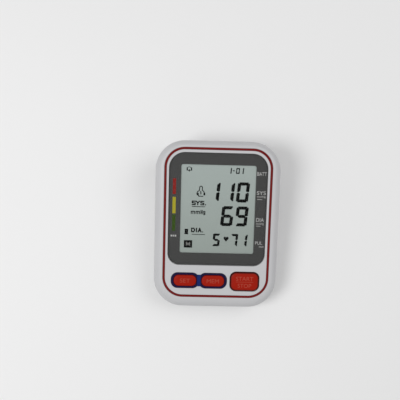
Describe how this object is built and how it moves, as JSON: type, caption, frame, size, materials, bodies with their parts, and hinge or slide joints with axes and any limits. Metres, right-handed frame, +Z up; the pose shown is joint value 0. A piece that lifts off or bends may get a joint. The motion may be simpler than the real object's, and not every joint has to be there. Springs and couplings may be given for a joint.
{
  "type": "blood pressure monitor",
  "caption": "Wedge-shaped digital blood pressure monitor with a large display window, rounded press keys, a ring line round its face, a cell compartment and an air socket for an arm cuff.",
  "frame": {"origin": "on the surface the monitor stands on, under the middle of its box", "axes": "+X to the right as the display is read, +Y to the back, +Z up; the face leans back by 10 degrees about X"},
  "size_m": [0.1122, 0.15, 0.051],
  "materials": {
    "white_casing": "satin",
    "red_trim": "gloss",
    "clear_panel": "gloss",
    "grey_mask": "printed",
    "display_glass": "satin",
    "black_plastic": "satin",
    "red_key": "satin",
    "blue_trim": "gloss",
    "grey_rubber": "matte",
    "dark_rubber": "matte",
    "green_board": "lacquered",
    "steel": "satin",
    "nickel": "bright",
    "cell_sleeve": "gloss",
    "clear_hose": "translucent",
    "foam": "matte",
    "copper_winding": "varnished"
  },
  "bodies": {
    "casing": {"top_cover": "white_casing", "bottom_cover": "white_casing", "trim_ring": "red_trim", "display_panel": "clear_panel", "display_mask": "grey_mask", "display_glass": "display_glass", "display_frame": "black_plastic", "contact_strip": "dark_rubber", "key_surround": "blue_trim", "key_mat": "grey_rubber", "main_board": "green_board", "controller_chip": "black_plastic", "buzzer": "black_plastic", "pressure_sensor": "black_plastic", "foot_back_left": "dark_rubber", "foot_back_right": "dark_rubber", "foot_front_left": "dark_rubber", "foot_front_right": "dark_rubber", "screw_back_left": "steel", "screw_back_right": "steel", "screw_front_left": "steel", "screw_front_right": "steel", "cell_1": "cell_sleeve", "cell_2": "cell_sleeve", "cell_3": "cell_sleeve", "cell_4": "cell_sleeve", "contact_positive": "nickel", "contact_link_left_front": "nickel", "contact_link_right": "nickel", "contact_link_left_back": "nickel", "contact_negative": "nickel", "cuff_socket": "black_plastic", "air_manifold": "black_plastic", "pump_head": "black_plastic", "pump_motor": "steel", "pump_sleeve": "foam", "release_valve": "steel", "valve_coil": "copper_winding", "hose_socket": "clear_hose", "hose_pump": "clear_hose", "hose_valve": "clear_hose", "hose_sensor": "clear_hose", "adapter_socket": "black_plastic"},
    "set_key": {"set_button": "red_key", "set_key_post": "dark_rubber"},
    "mem_key": {"mem_button": "red_key", "mem_key_post": "dark_rubber"},
    "start_stop_key": {"start_stop_button": "red_key", "start_stop_key_post": "dark_rubber"},
    "door": {"battery_door": "white_casing"},
    "crank": {"pump_shaft": "steel"},
    "plunger": {"valve_plunger": "nickel"}
  },
  "joints": [
    {"name": "set_key_press", "type": "slide", "parent": "casing", "child": "set_key", "axis": [0, 0.1736, -0.9848], "range_m": [0, 0.001], "stiffness_N_per_m": 1500, "springref_m": -0.0003},
    {"name": "mem_key_press", "type": "slide", "parent": "casing", "child": "mem_key", "axis": [0, 0.1736, -0.9848], "range_m": [0, 0.001], "stiffness_N_per_m": 1500, "springref_m": -0.0003},
    {"name": "start_stop_key_press", "type": "slide", "parent": "casing", "child": "start_stop_key", "axis": [0, 0.1736, -0.9848], "range_m": [0, 0.001], "stiffness_N_per_m": 1500, "springref_m": -0.0003},
    {"name": "battery_door_tip", "type": "hinge", "parent": "casing", "child": "door", "pos_m": [0.00015, 0.02648, 0.0015], "axis": [1, 0, 0], "range_deg": [0, 60]},
    {"name": "pump_spin", "type": "hinge", "parent": "casing", "child": "crank", "pos_m": [0.00015, 0.04523, 0.018], "axis": [1, 0, 0], "continuous": true},
    {"name": "valve_plunger_drop", "type": "slide", "parent": "casing", "child": "plunger", "axis": [0, 0, -1], "range_m": [0, 0.0015], "stiffness_N_per_m": 200, "springref_m": -0.0005}
  ]
}
